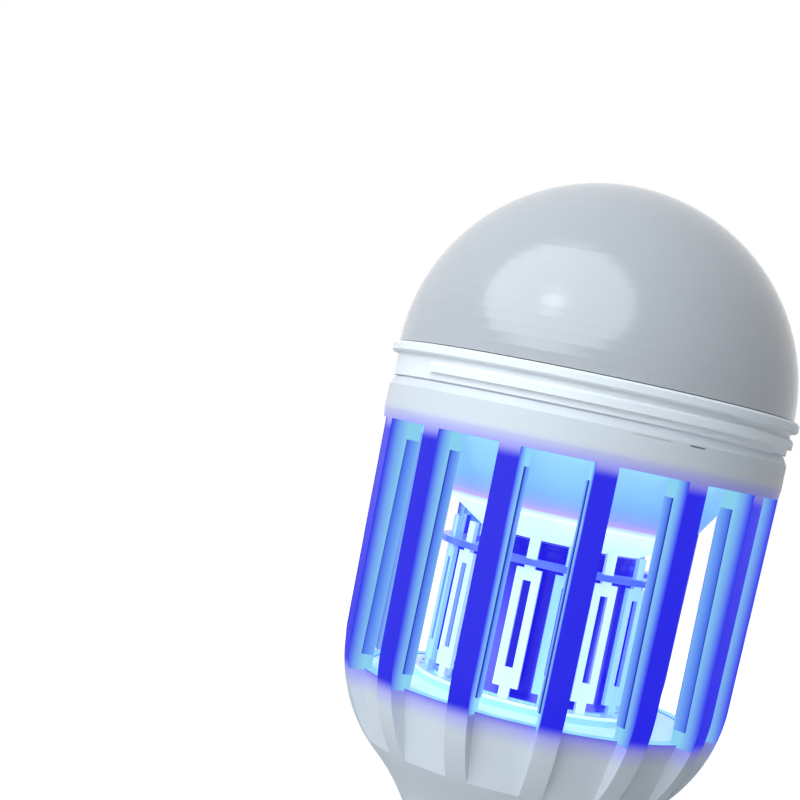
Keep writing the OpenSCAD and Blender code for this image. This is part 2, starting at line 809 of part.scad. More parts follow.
// Milky dome: a thick rim under it passes down through the collar and ends in a flange.
module diffuser_dome() {
    rise = dome_top_z - dome_low_z;
    n = 30;
    outer = [for (i = [0:n]) let (a = 90 * i / n) [dome_r * cos(a), dome_low_z + rise * sin(a)]];
    inner = [for (i = [n:-1:0]) let (a = 90 * i / n)
        [(dome_r - dome_wall) * cos(a), dome_low_z + dome_wall + (rise - 2 * dome_wall) * sin(a)]];
    color("#f4f4f0")
        rotate_extrude()
            polygon(concat([[dome_bore_r, dome_flange_low_z], [dome_flange_r, dome_flange_low_z],
                [dome_flange_r, dome_flange_top_z], [dome_spigot_r, dome_flange_top_z],
                [dome_spigot_r, dome_low_z]], outer, inner, [[dome_bore_r, dome_low_z + dome_wall]]));
}

centre_contact();
cap_insulator();
screw_shell();
cage_housing();
driver_board();
transformer();
smoothing_capacitors();
film_capacitors();
hv_diodes();
fuse_resistor();
supply_leads();
floor_screws();
trap_floor();
grid_base_ring();
grid_top_ring();
live_grid();
earth_grid();
hv_leads();
wire_tube();
uv_diffuser();
uv_board();
uv_leds();
light_funnel();
heat_plate();
led_board();
white_leds();
board_screws();
led_leads();
retaining_collar();
diffuser_dome();
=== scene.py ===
import math

import bmesh
import bpy
from mathutils import Matrix, Vector


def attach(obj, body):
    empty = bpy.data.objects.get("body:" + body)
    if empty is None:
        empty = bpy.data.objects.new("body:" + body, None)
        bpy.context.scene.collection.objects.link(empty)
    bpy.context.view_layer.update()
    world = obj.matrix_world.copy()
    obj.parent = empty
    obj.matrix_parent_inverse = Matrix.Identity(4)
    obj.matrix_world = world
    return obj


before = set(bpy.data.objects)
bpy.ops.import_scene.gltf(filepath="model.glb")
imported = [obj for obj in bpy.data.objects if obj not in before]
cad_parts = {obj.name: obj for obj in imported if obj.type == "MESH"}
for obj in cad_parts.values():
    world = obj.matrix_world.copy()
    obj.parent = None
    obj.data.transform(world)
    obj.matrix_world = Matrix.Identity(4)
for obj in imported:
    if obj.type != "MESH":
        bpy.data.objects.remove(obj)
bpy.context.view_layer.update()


# Camera. The photograph looks level at the lamp from a third of a metre, with the lamp leaning
# over to the left side of the picture, so the camera leans and the lamp stays upright.
PHOTO_PIXELS, LENS_PIXELS = 800, 1573.1
AIM, TILT, LEAN = 0.11772, 0.00728, -0.21  # turns about Z, X and Y in radians
CAMERA_AT = (0.0, -0.3130, 0.12256)
camera_data = bpy.data.cameras.new("camera")
camera_data.sensor_width = 36.0
camera_data.lens = camera_data.sensor_width * LENS_PIXELS / PHOTO_PIXELS
camera_data.clip_start, camera_data.clip_end = 0.01, 20.0
camera = bpy.data.objects.new("camera", camera_data)
bpy.context.scene.collection.objects.link(camera)
turn = (Matrix.Rotation(AIM, 3, "Z") @ Matrix.Rotation(TILT, 3, "X")
        @ Matrix.Rotation(LEAN, 3, "Y"))
right, forward, up = (turn.col[i].copy() for i in range(3))
lens_axes = Matrix((right, up, -forward)).transposed().to_4x4()
camera.matrix_world = Matrix.Translation(CAMERA_AT) @ lens_axes
bpy.context.scene.camera = camera
bpy.context.scene.view_settings.view_transform = "Standard"


# Room. A white studio: a floor of pale paper under the lamp's cap and a white surround. One large
# umbrella lights it from the front left and above, with its bulb's brighter spot in the middle.
# The room on the lamp's right is dark, so that side falls off to grey.
def srgb(code):
    """The linear colour of an sRGB hex code."""
    values = [int(code[i:i + 2], 16) / 255 for i in (1, 3, 5)]
    return (*(v / 12.92 if v <= 0.04045 else ((v + 0.055) / 1.055) ** 2.4 for v in values), 1.0)


def wire(tree, node, wires):
    """Gives a node's inputs, by name or number, a value, a socket or a node. A node stands for
    its first output in use."""
    for key, value in wires.items():
        socket = node.inputs[key] if isinstance(key, int) else next(
            s for s in node.inputs if s.enabled and s.name == key)
        if isinstance(value, bpy.types.Node):
            value = next(s for s in value.outputs if s.enabled)
        if isinstance(value, bpy.types.NodeSocket):
            tree.links.new(value, socket)
        else:
            socket.default_value = value


def add(tree, kind, wires=(), steps=(), **settings):
    """Adds a node. On a colour ramp, steps are the places and hex codes of its colours."""
    made = tree.nodes.new(kind)
    for key, value in settings.items():
        setattr(made, key, value)
    wire(tree, made, dict(wires))
    for i, (place, code) in enumerate(steps):
        stops = made.color_ramp.elements
        stop = stops[i] if i < len(stops) else stops.new(place)
        stop.position = place
        stop.color = srgb(code)
    return made


FILL_LEFT, FILL_RIGHT, FILL_ENDS = 0.22, 0.03, 0.9
world = bpy.data.worlds.new("white_surround")
bpy.context.scene.world = world
world.use_nodes = True
sky = world.node_tree
sky.nodes.clear()
path = add(sky, "ShaderNodeLightPath")
seen = add(sky, "ShaderNodeMath",
           {0: path.outputs["Is Camera Ray"], 1: path.outputs["Is Glossy Ray"]},
           operation="MAXIMUM")
seen = add(sky, "ShaderNodeMath", {0: seen, 1: path.outputs["Is Transmission Ray"]},
           operation="MAXIMUM")
heading = add(sky, "ShaderNodeTexCoord")
heading = add(sky, "ShaderNodeSeparateXYZ", {"Vector": heading.outputs["Generated"]})
level = add(sky, "ShaderNodeMapRange",
            {"Value": heading.outputs["X"], "From Min": -FILL_ENDS, "From Max": FILL_ENDS,
             "To Min": FILL_LEFT, "To Max": FILL_RIGHT})
fill = add(sky, "ShaderNodeBackground", {"Color": srgb("#f2f5ff"), "Strength": level})
white = add(sky, "ShaderNodeBackground", {"Color": srgb("#ffffff"), "Strength": 1.0})
either = add(sky, "ShaderNodeMixShader", {0: seen, 1: fill, 2: white})
add(sky, "ShaderNodeOutputWorld", {"Surface": either})

# The paper's fibres are drawn coarser than real ones, which the render couldn't show. Further
# out, the camera sees the paper whiter, so that it runs into the surround without a line.
FLOOR_R, FLOOR_SIDES, FLOOR_Z = 1.2, 96, -0.0005
FIBRE_MM, PAPER_DARK, PAPER_PALE = 2.6667, 0.76, 0.80
NEAR, FAR, SHINE_NEAR, SHINE_FAR = 0.2, 0.7, 0.62, 1.0
rim = []
for i in range(FLOOR_SIDES):
    turned = math.tau * i / FLOOR_SIDES
    rim.append((FLOOR_R * math.cos(turned), FLOOR_R * math.sin(turned), 0.0))
floor_mesh = bpy.data.meshes.new("floor")
floor_mesh.from_pydata(rim, [], [list(range(FLOOR_SIDES))])
floor = bpy.data.objects.new("floor", floor_mesh)
floor.location.z = FLOOR_Z
bpy.context.scene.collection.objects.link(floor)
paper = bpy.data.materials.new("white_paper")
paper.use_nodes = True
tree = paper.node_tree
tree.nodes.clear()
fibres = add(tree, "ShaderNodeTexNoise", {"Scale": 2000.0 * FLOOR_R / FIBRE_MM, "Detail": 3.0})
tone = add(tree, "ShaderNodeMapRange",
           {"Value": fibres, "To Min": PAPER_DARK, "To Max": PAPER_PALE})
lit = add(tree, "ShaderNodeBsdfDiffuse", {"Color": tone})
place = add(tree, "ShaderNodeTexCoord")
away = add(tree, "ShaderNodeVectorMath", {0: place.outputs["Object"]}, operation="LENGTH")
whiter = add(tree, "ShaderNodeMapRange",
             {"Value": away, "From Min": NEAR, "From Max": FAR,
              "To Min": SHINE_NEAR, "To Max": SHINE_FAR})
path = add(tree, "ShaderNodeLightPath")
shine = add(tree, "ShaderNodeMath", {0: path.outputs["Is Camera Ray"], 1: whiter},
            operation="MULTIPLY")
shine = add(tree, "ShaderNodeEmission", {"Color": srgb("#ffffff"), "Strength": shine})
both = add(tree, "ShaderNodeAddShader", {0: lit, 1: shine})
add(tree, "ShaderNodeOutputMaterial", {"Surface": both})
floor_mesh.materials.append(paper)

LAMPS = {  # name: (azimuth and height in degrees, distance, width, height, power in W, colour)
    "umbrella": (-35.0, 41.0, 1.1, 1.85, 1.3, 18.0, "#e8f4fa"),
    "umbrella_bulb": (-35.5, 36.0, 1.05, 0.22, 0.22, 0.45, "#f2f9fd"),
}
MIDDLE = Vector((0.0, 0.0, 0.12))
for name, (around, rise, far, wide, high, watts, tint) in LAMPS.items():
    light = bpy.data.lights.new(name, "AREA")
    light.shape = "ELLIPSE"
    light.size, light.size_y = wide, high
    light.energy = watts
    light.color = srgb(tint)[:3]
    lamp = bpy.data.objects.new(name, light)
    turned, raised = math.radians(around), math.radians(rise)
    way = Vector((math.sin(turned) * math.cos(raised), -math.cos(turned) * math.cos(raised),
                  math.sin(raised)))
    lamp.location = MIDDLE + far * way
    lamp.rotation_euler = (-way).to_track_quat("-Z", "Y").to_euler()
    bpy.context.scene.collection.objects.link(lamp)


# Screw cap. The shell is thin brass sheet, rolled into its thread and nickel plated, so it is
# bright, with fine lines round it from the rolling and duller patches of tarnish. Black glass is
# cast into its end, smooth and glossy, and a tinned brass button is riveted through that.
def surface(name, base, roughness, more=()):
    """A material with one Principled shader. Returns the material, its tree and the shader."""
    made = bpy.data.materials.new(name)
    made.use_nodes = True
    tree = made.node_tree
    tree.nodes.clear()
    shader = add(tree, "ShaderNodeBsdfPrincipled",
                 {"Base Color": srgb(base), "Roughness": roughness, **dict(more)})
    add(tree, "ShaderNodeOutputMaterial", {"Surface": shader})
    return made, tree, shader


def dress(material, *names):
    """Puts a material on CAD nodes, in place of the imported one."""
    for name in names:
        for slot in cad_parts[name].material_slots:
            slot.material = material


PATCH_MM = 16.667


def grain(tree, shader, size_mm, height_mm, darkest, spread=0.0):
    """Grain as a small bump, and broad patches, a little darker and, with a spread, duller or
    glossier. Real mould and brush grain is finer than 0.1 mm: it is drawn coarser, to show."""
    place = add(tree, "ShaderNodeTexCoord")
    noise = add(tree, "ShaderNodeTexNoise",
                {"Vector": place.outputs["Object"], "Scale": 1000.0 / size_mm,
                 "Detail": 3.0, "Roughness": 0.55})
    bump = add(tree, "ShaderNodeBump",
               {"Height": noise, "Distance": height_mm / 1000.0, "Strength": 0.6})
    patches = add(tree, "ShaderNodeTexNoise",
                  {"Vector": place.outputs["Object"], "Scale": 1000.0 / PATCH_MM, "Detail": 2.0})
    level = add(tree, "ShaderNodeMapRange", {"Value": patches, "To Min": darkest, "To Max": 1.0})
    socket = shader.inputs["Base Color"]
    colour = socket.links[0].from_socket if socket.is_linked else tuple(socket.default_value)
    toned = add(tree, "ShaderNodeMix", {"Factor": 1.0, "A": colour, "B": level},
                data_type="RGBA", blend_type="MULTIPLY")
    wire(tree, shader, {"Base Color": toned, "Normal": bump})
    if spread:
        rough = shader.inputs["Roughness"].default_value
        worn = add(tree, "ShaderNodeMapRange",
                   {"Value": patches, "To Min": rough - spread, "To Max": rough + spread})
        wire(tree, shader, {"Roughness": worn})


ROLL_LINE_MM, ROLL_LINE_DEPTH, TARNISH_MM = 0.25, 0.00002, 4.5455
nickel, tree, shader = surface("nickel_plated_brass", "#c8c6c1", 0.24, {"Metallic": 1.0})
place = add(tree, "ShaderNodeTexCoord")
lines = add(tree, "ShaderNodeMapping",
            {"Vector": place.outputs["Object"],
             "Scale": (1000.0 / PATCH_MM, 1000.0 / PATCH_MM, 1000.0 / ROLL_LINE_MM)})
rolled = add(tree, "ShaderNodeTexNoise", {"Vector": lines, "Scale": 1.0, "Detail": 2.0})
bump = add(tree, "ShaderNodeBump",
           {"Height": rolled, "Distance": ROLL_LINE_DEPTH, "Strength": 0.5})
tarnish = add(tree, "ShaderNodeTexNoise",
              {"Vector": place.outputs["Object"], "Scale": 1000.0 / TARNISH_MM, "Detail": 4.0})
tint = add(tree, "ShaderNodeMix",
           {"Factor": tarnish, "A": srgb("#b9b4a9"), "B": srgb("#dad9d6")}, data_type="RGBA")
dull = add(tree, "ShaderNodeMapRange", {"Value": tarnish, "To Min": 0.16, "To Max": 0.36})
wire(tree, shader, {"Base Color": tint, "Roughness": dull, "Normal": bump})
dress(nickel, "screw_shell")

black_glass, tree, shader = surface("black_cap_glass", "#0d0d12", 0.12, {"IOR": 1.52})
grain(tree, shader, size_mm=1.2, height_mm=0.05, darkest=0.7, spread=0.05)
dress(black_glass, "cap_insulator")

tin, tree, shader = surface("tinned_brass", "#cdc9c0", 0.34, {"Metallic": 1.0})
grain(tree, shader, size_mm=0.8, height_mm=0.03, darkest=0.8, spread=0.12)
dress(tin, "centre_contact")


# Housing. One piece of white ABS, injection moulded with a fine satin grain. The violet LEDs
# inside make the bars glow deep blue through their outer faces, paler towards the chamber, and
# the glow fades out over the band above and the bell below. A short scratch marks the band.
SLOT_LOW, SLOT_TOP, BAND_TOP = 0.0734, 0.1211, 0.1293
SHOULDER_Z, SHOULDER_R, CAGE_R, BAR_DEPTH = 0.0805, 0.0383, 0.0392, 0.0062
SHARP_GLOW = (SLOT_LOW - 0.0008, SLOT_LOW - 0.0003, SLOT_TOP + 0.0003, SLOT_TOP + 0.0008)
SOFT_GLOW = (SLOT_LOW - 0.0020, SLOT_LOW + 0.0012, SLOT_TOP - 0.0024, SLOT_TOP + 0.0008)
HAZE = (SLOT_LOW - 0.0050, SLOT_LOW, SLOT_TOP, SLOT_TOP + 0.0032)
SCRATCH_LINE = (0.12708, 0.12722, 0.12738, 0.12752)  # heights
SCRATCH_SPAN, FAINT_SPAN = (2.56, 2.58, 2.64, 2.66), (2.72, 2.77, 2.90, 2.95)  # bearings
FAINT_SHARE, NECK_EDGE = 0.3, 0.0001
ABS_FINISH = {"IOR": 1.54, "Specular IOR Level": 0.35}
ABS_GRAIN = {"size_mm": 0.35, "height_mm": 0.01, "darkest": 0.985}
LIT_BASE, BAR_GLOW, HAZE_GLOW, NECK_GLOW = "#0c0a30", 0.95, 0.12, 0.25


def height_of(tree):
    """A point's height over the end of the cap."""
    place = add(tree, "ShaderNodeTexCoord")
    parts = add(tree, "ShaderNodeSeparateXYZ", {"Vector": place.outputs["Object"]})
    return parts.outputs["Z"]


def from_axis(tree):
    """The level way from the lamp's axis to a point."""
    place = add(tree, "ShaderNodeTexCoord")
    return add(tree, "ShaderNodeVectorMath", {0: place.outputs["Object"], 1: (1.0, 1.0, 0.0)},
               operation="MULTIPLY")


def radius_of(tree):
    """A point's distance from the lamp's axis."""
    return add(tree, "ShaderNodeVectorMath", {0: from_axis(tree)}, operation="LENGTH")


def bearing_of(tree):
    """A point's angle round the lamp's axis, from +Y towards +X, in radians."""
    parts = add(tree, "ShaderNodeSeparateXYZ", {"Vector": from_axis(tree)})
    return add(tree, "ShaderNodeMath", {0: parts.outputs["X"], 1: parts.outputs["Y"]},
               operation="ARCTAN2")


def facing_of(tree):
    """How far a face looks away from the lamp's axis: 1 is outwards, 0 sideways, -1 inwards."""
    place = add(tree, "ShaderNodeTexCoord")
    outwards = add(tree, "ShaderNodeVectorMath", {0: from_axis(tree)}, operation="NORMALIZE")
    return add(tree, "ShaderNodeVectorMath", {0: outwards, 1: place.outputs["Normal"]},
               operation="DOT_PRODUCT")


def within(tree, value, low_out, low_in, top_in, top_out):
    """1 from low_in to top_in, with a soft fall to 0 at low_out and at top_out."""
    rising = add(tree, "ShaderNodeMapRange",
                 {"Value": value, "From Min": low_out, "From Max": low_in},
                 interpolation_type="SMOOTHSTEP")
    falling = add(tree, "ShaderNodeMapRange",
                  {"Value": value, "From Min": top_out, "From Max": top_in},
                  interpolation_type="SMOOTHSTEP")
    return add(tree, "ShaderNodeMath", {0: rising, 1: falling}, operation="MULTIPLY")


# The bars' faces: deep blue outside, light blue inside, and in steps from one to the other over
# their flanks, by how deep a point lies in from the cage's outside.
abs_white, tree, shader = surface("white_abs", "#dde0e5", 0.42, ABS_FINISH)
height, facing = height_of(tree), facing_of(tree)
cage = add(tree, "ShaderNodeMapRange",
           {"Value": height, "From Min": SHOULDER_Z, "From Max": SLOT_TOP,
            "To Min": SHOULDER_R, "To Max": CAGE_R})
depth = add(tree, "ShaderNodeMath", {0: cage, 1: radius_of(tree)}, operation="SUBTRACT")
depth = add(tree, "ShaderNodeMath", {0: depth, 1: BAR_DEPTH}, operation="DIVIDE")
flank = add(tree, "ShaderNodeValToRGB", {"Fac": depth},
            steps=[(0.0, "#2418e8"), (0.10, "#4a62ee"), (0.30, "#74a8f0"), (0.58, "#8ad2ee")])
outer = add(tree, "ShaderNodeMapRange", {"Value": facing, "From Min": 0.5, "From Max": 0.8},
            interpolation_type="SMOOTHSTEP")
inner = add(tree, "ShaderNodeMapRange", {"Value": facing, "From Min": -0.4, "From Max": -0.8},
            interpolation_type="SMOOTHSTEP")
lit = add(tree, "ShaderNodeMix", {"Factor": inner, "A": flank, "B": srgb("#568cf2")},
          data_type="RGBA")
lit = add(tree, "ShaderNodeMix", {"Factor": outer, "A": lit, "B": srgb("#0a04e6")},
          data_type="RGBA")

# The glow ends close to the slots' ends on faces that look sideways, and fades softly over the
# outside. Beyond it a weak violet haze shows through the wall.
haze = within(tree, height, *HAZE)
glow = add(tree, "ShaderNodeMix",
           {"Factor": outer, "A": within(tree, height, *SHARP_GLOW),
            "B": within(tree, height, *SOFT_GLOW)})

# The scratch is a short dark line on the right of the band, with a fainter one beside it.
bearing = bearing_of(tree)
faint = within(tree, bearing, *FAINT_SPAN)
scratch = add(tree, "ShaderNodeMath",
              {0: faint, 1: FAINT_SHARE, 2: within(tree, bearing, *SCRATCH_SPAN)},
              operation="MULTIPLY_ADD")
scratch = add(tree, "ShaderNodeMath", {0: scratch, 1: within(tree, height, *SCRATCH_LINE)},
              operation="MULTIPLY")
base = add(tree, "ShaderNodeMix",
           {"Factor": scratch, "A": srgb("#dde0e5"), "B": srgb("#6d7178")}, data_type="RGBA")
base = add(tree, "ShaderNodeMix", {"Factor": haze, "A": base, "B": srgb("#b4b0ee")},
           data_type="RGBA")
base = add(tree, "ShaderNodeMix", {"Factor": glow, "A": base, "B": srgb(LIT_BASE)},
           data_type="RGBA")

# The neck is lit a little, because some light reaches it through the seam under the collar.
neck = add(tree, "ShaderNodeMapRange",
           {"Value": height, "From Min": BAND_TOP - NECK_EDGE, "From Max": BAND_TOP + NECK_EDGE},
           interpolation_type="SMOOTHSTEP")
weak = add(tree, "ShaderNodeMix", {"Factor": neck, "A": srgb("#7a70ea"), "B": srgb("#e0e4ec")},
           data_type="RGBA")
colour = add(tree, "ShaderNodeMix", {"Factor": glow, "A": weak, "B": lit}, data_type="RGBA")
power = add(tree, "ShaderNodeMath", {0: haze, 1: HAZE_GLOW}, operation="MULTIPLY")
power = add(tree, "ShaderNodeMix", {"Factor": glow, "A": power, "B": BAR_GLOW})
power = add(tree, "ShaderNodeMath", {0: neck, 1: NECK_GLOW, 2: power},
            operation="MULTIPLY_ADD")
wire(tree, shader, {"Base Color": base, "Emission Color": colour, "Emission Strength": power})
grain(tree, shader, **ABS_GRAIN)
dress(abs_white, "cage_housing")


# Bars' inner halves. Each bar is thicker over its inner half, which shows as a darker blue strip
# beside its flank in the photograph. The strips belong to the white ABS moulding: they lie on
# the bars' flanks, sunk a little into them, with their long edges broken.
BAR_COUNT, BAR_W = 14, 0.0041
BAR_PHASE = 7.9 - 90.0  # degrees from +X
HALF_IN, HALF_OUT, HALF_T, HALF_SUNK, HALF_EDGE = 0.03305, 0.03545, 0.0003, 0.0001, 0.00006
HALF_LOW, HALF_TOP = SLOT_LOW + 0.0026, SLOT_TOP - 0.0034


def piece(name, shape):
    """Makes an object of the scene from finished mesh code."""
    mesh = bpy.data.meshes.new(name)
    shape.to_mesh(mesh)
    shape.free()
    made = bpy.data.objects.new(name, mesh)
    bpy.context.scene.collection.objects.link(made)
    return made


foot_y, face_y = BAR_W / 2 - HALF_SUNK, BAR_W / 2 + HALF_T
section = [(HALF_IN, foot_y), (HALF_OUT, foot_y), (HALF_OUT, face_y - HALF_EDGE),
           (HALF_OUT - HALF_EDGE, face_y), (HALF_IN + HALF_EDGE, face_y),
           (HALF_IN, face_y - HALF_EDGE)]
shape = bmesh.new()
for i in range(BAR_COUNT):
    spin = Matrix.Rotation(math.radians(BAR_PHASE + 360.0 * i / BAR_COUNT), 3, "Z")
    for side in (1, -1):
        low, top = ([shape.verts.new(spin @ Vector((x, side * y, z)))
                     for x, y in section[::side]] for z in (HALF_LOW, HALF_TOP))
        shape.faces.new(low[::-1])
        shape.faces.new(top)
        for j in range(len(section)):
            k = (j + 1) % len(section)
            shape.faces.new((low[j], low[k], top[k], top[j]))
inner_halves = piece("bar_inner_halves", shape)

lit_abs, tree, shader = surface("lit_white_abs_bars", LIT_BASE, 0.42,
                                {**ABS_FINISH, "Emission Strength": BAR_GLOW})
across = add(tree, "ShaderNodeMapRange",
             {"Value": radius_of(tree), "From Min": HALF_OUT, "From Max": HALF_IN})
lit = add(tree, "ShaderNodeValToRGB", {"Fac": across},
          steps=[(0.0, "#4468e6"), (0.4, "#5e90f0"), (1.0, "#7cb4f2")])
outer = add(tree, "ShaderNodeMapRange",
            {"Value": facing_of(tree), "From Min": 0.4, "From Max": 0.7},
            interpolation_type="SMOOTHSTEP")
lit = add(tree, "ShaderNodeMix", {"Factor": outer, "A": lit, "B": srgb("#1a2cb0")},
          data_type="RGBA")
wire(tree, shader, {"Emission Color": lit})
grain(tree, shader, **ABS_GRAIN)
inner_halves.data.materials.append(lit_abs)
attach(inner_halves, "lamp")


# Driver. A round board in the bell, screwed up to the floor, with its parts soldered to it. All
# of it is out of sight in the closed bell, so each part keeps a plain finish of its own kind:
# lacquered laminate, shrunk sleeves, dipped epoxy, pressed moulding, rough cement, smooth PVC.
DRIVER_FINISHES = [  # material, colour, roughness, IOR, grain's size and height in mm, darkest
    ("green_laminate", "#2b6a3c", 0.35, 1.5, 0.9, 0.03, 0.75, ["driver_board"]),
    ("capacitor_sleeve", "#202329", 0.3, 1.54, 1.5, 0.01, 0.8, ["smoothing_capacitors"]),
    ("dipped_epoxy", "#9a4a26", 0.28, 1.55, 1.8, 0.08, 0.85, ["film_capacitors"]),
    ("black_moulding", "#222226", 0.4, 1.5, 0.3, 0.02, 0.85, ["hv_diodes"]),
    ("resistor_cement", "#6f8f5a", 0.6, 1.5, 0.4, 0.04, 0.85, ["fuse_resistor"]),
    ("red_pvc", "#b32a2a", 0.45, 1.53, 1.0, 0.01, 0.9, ["supply_leads", "hv_leads"]),
    ("grey_pvc", "#d5d6d8", 0.45, 1.53, 1.0, 0.01, 0.9, ["led_leads"]),
]
for name, colour, roughness, ior, size, high, darkest, nodes in DRIVER_FINISHES:
    finish, tree, shader = surface(name, colour, roughness, {"IOR": ior})
    grain(tree, shader, size, high, darkest)
    dress(finish, *nodes)

# The transformer's ferrite core is dull and nearly black, with yellow tape round its winding.
TAPE_Y, TAPE_END_Y = 0.0046, 0.0049
ferrite, tree, shader = surface("ferrite_and_tape", "#4a4636", 0.5)
place = add(tree, "ShaderNodeTexCoord")
parts = add(tree, "ShaderNodeSeparateXYZ", {"Vector": place.outputs["Object"]})
aside = add(tree, "ShaderNodeMath", {0: parts.outputs["Y"]}, operation="ABSOLUTE")
taped = add(tree, "ShaderNodeMapRange",
            {"Value": aside, "From Min": TAPE_Y, "From Max": TAPE_END_Y,
             "To Min": 1.0, "To Max": 0.0})
tint = add(tree, "ShaderNodeMix", {"Factor": taped, "A": srgb("#35353a"), "B": srgb("#cfa92f")},
           data_type="RGBA")
wire(tree, shader, {"Base Color": tint})
grain(tree, shader, size_mm=0.6, height_mm=0.02, darkest=0.85)
dress(ferrite, "transformer")

# The screws are steel with a thin coat of zinc: light grey, half bright and a little blotched.
zinc, tree, shader = surface("zinc_plated_steel", "#c4c4c2", 0.3, {"Metallic": 1.0})
grain(tree, shader, size_mm=0.5, height_mm=0.01, darkest=0.85, spread=0.08)
dress(zinc, "floor_screws", "board_screws")


# Chamber floor, rings and tube, moulded in white and clear plastic. The floor lies on a ledge in
# the bell and carries the base ring and the tube; the top ring holds the strips apart. Floor and
# base ring take on the bowl's pale light, top ring and tube the violet of the LEDs.
LIT_LOW, LIT_TOP = 0.0715, 0.1060


def lit_plastic(name, low, top, roughness, strength):
    """Moulded plastic whose colour and glow go from one at the floor to one at the bowl."""
    made, tree, shader = surface(name, low, roughness,
                                 {"IOR": 1.53, "Emission Strength": strength})
    rise = add(tree, "ShaderNodeMapRange",
               {"Value": height_of(tree), "From Min": LIT_LOW, "From Max": LIT_TOP})
    tint = add(tree, "ShaderNodeMix", {"Factor": rise, "A": srgb(low), "B": srgb(top)},
               data_type="RGBA")
    wire(tree, shader, {"Base Color": tint, "Emission Color": tint})
    grain(tree, shader, size_mm=0.4, height_mm=0.01, darkest=0.94)
    return made


dress(lit_plastic("lit_white_abs", "#c4e6ee", "#d8fff8", roughness=0.4, strength=0.45),
      "trap_floor")
dress(lit_plastic("lit_clear_base_ring", "#a8dcf4", "#8fd4f6", roughness=0.25, strength=0.4),
      "grid_base_ring")
dress(lit_plastic("lit_violet_top_ring", "#4a58ea", "#5a74ee", roughness=0.25, strength=0.55),
      "grid_top_ring")
dress(lit_plastic("violet_tube", "#2a1ee6", "#3a2ae8", roughness=0.25, strength=0.7),
      "wire_tube")


# Column. The photograph shows deep blue right across between the strips, so a thin tube of
# polycarbonate stands inside the grid, from the base ring up to just under the bowl, and that
# deep blue is painted on it as a violet glow. It is moulded, with a bead at each end that
# stiffens it.
COLUMN_R, COLUMN_WALL, COLUMN_SIDES = 0.0152, 0.0005, 96
COLUMN_LOW, COLUMN_TOP = 0.0736, 0.1041
BEAD_T, BEAD_H, BEAD_SLOPE = 0.0004, 0.0010, 0.0014
COLUMN_CREASE = 35.0  # degrees
profile = [(COLUMN_R + BEAD_T, COLUMN_LOW), (COLUMN_R + BEAD_T, COLUMN_LOW + BEAD_H),
           (COLUMN_R, COLUMN_LOW + BEAD_SLOPE), (COLUMN_R, COLUMN_TOP - BEAD_SLOPE),
           (COLUMN_R + BEAD_T, COLUMN_TOP - BEAD_H), (COLUMN_R + BEAD_T, COLUMN_TOP),
           (COLUMN_R - COLUMN_WALL, COLUMN_TOP), (COLUMN_R - COLUMN_WALL, COLUMN_LOW)]
shape = bmesh.new()
rings = []
for i in range(COLUMN_SIDES):
    turned = math.tau * i / COLUMN_SIDES
    rings.append([shape.verts.new((r * math.cos(turned), r * math.sin(turned), z))
                  for r, z in profile])
for i in range(COLUMN_SIDES):
    here, following = rings[i], rings[(i + 1) % COLUMN_SIDES]
    for j in range(len(profile)):
        k = (j + 1) % len(profile)
        face = shape.faces.new((here[j], following[j], following[k], here[k]))
        face.smooth = True
column = piece("column", shape)
column.data.set_sharp_from_angle(angle=math.radians(COLUMN_CREASE))

# The deep blue is a painted violet glow with a soft gloss, and the paler stripes low down are
# painted light, where the bars' light falls on it between the strips.
STRIPE_COUNT, STRIPE_TOP = 9, COLUMN_LOW + 0.006
column_painted_glow, tree, shader = surface("polycarbonate_painted_violet_glow", "#1a10c0", 0.3,
                               {**ABS_FINISH, "IOR": 1.58, "Emission Strength": 0.9})
wave = add(tree, "ShaderNodeMath", {0: bearing_of(tree), 1: STRIPE_COUNT}, operation="MULTIPLY")
wave = add(tree, "ShaderNodeMath", {0: wave}, operation="SINE")
crest = add(tree, "ShaderNodeMapRange", {"Value": wave, "From Min": -0.2, "From Max": 1.0},
            interpolation_type="SMOOTHSTEP")
lower = add(tree, "ShaderNodeMapRange",
            {"Value": height_of(tree), "From Min": COLUMN_TOP, "From Max": STRIPE_TOP},
            interpolation_type="SMOOTHSTEP")
pale = add(tree, "ShaderNodeMath", {0: crest, 1: lower}, operation="MULTIPLY")
base = add(tree, "ShaderNodeMix", {"Factor": pale, "A": srgb("#0a0640"), "B": srgb("#1a10c0")},
           data_type="RGBA")
lit = add(tree, "ShaderNodeMix", {"Factor": pale, "A": srgb("#1c10e0"), "B": srgb("#6f74f0")},
          data_type="RGBA")
wire(tree, shader, {"Base Color": base, "Emission Color": lit})
grain(tree, shader, size_mm=0.8, height_mm=0.005, darkest=0.95)
column.data.materials.append(column_painted_glow)
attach(column, "lamp")


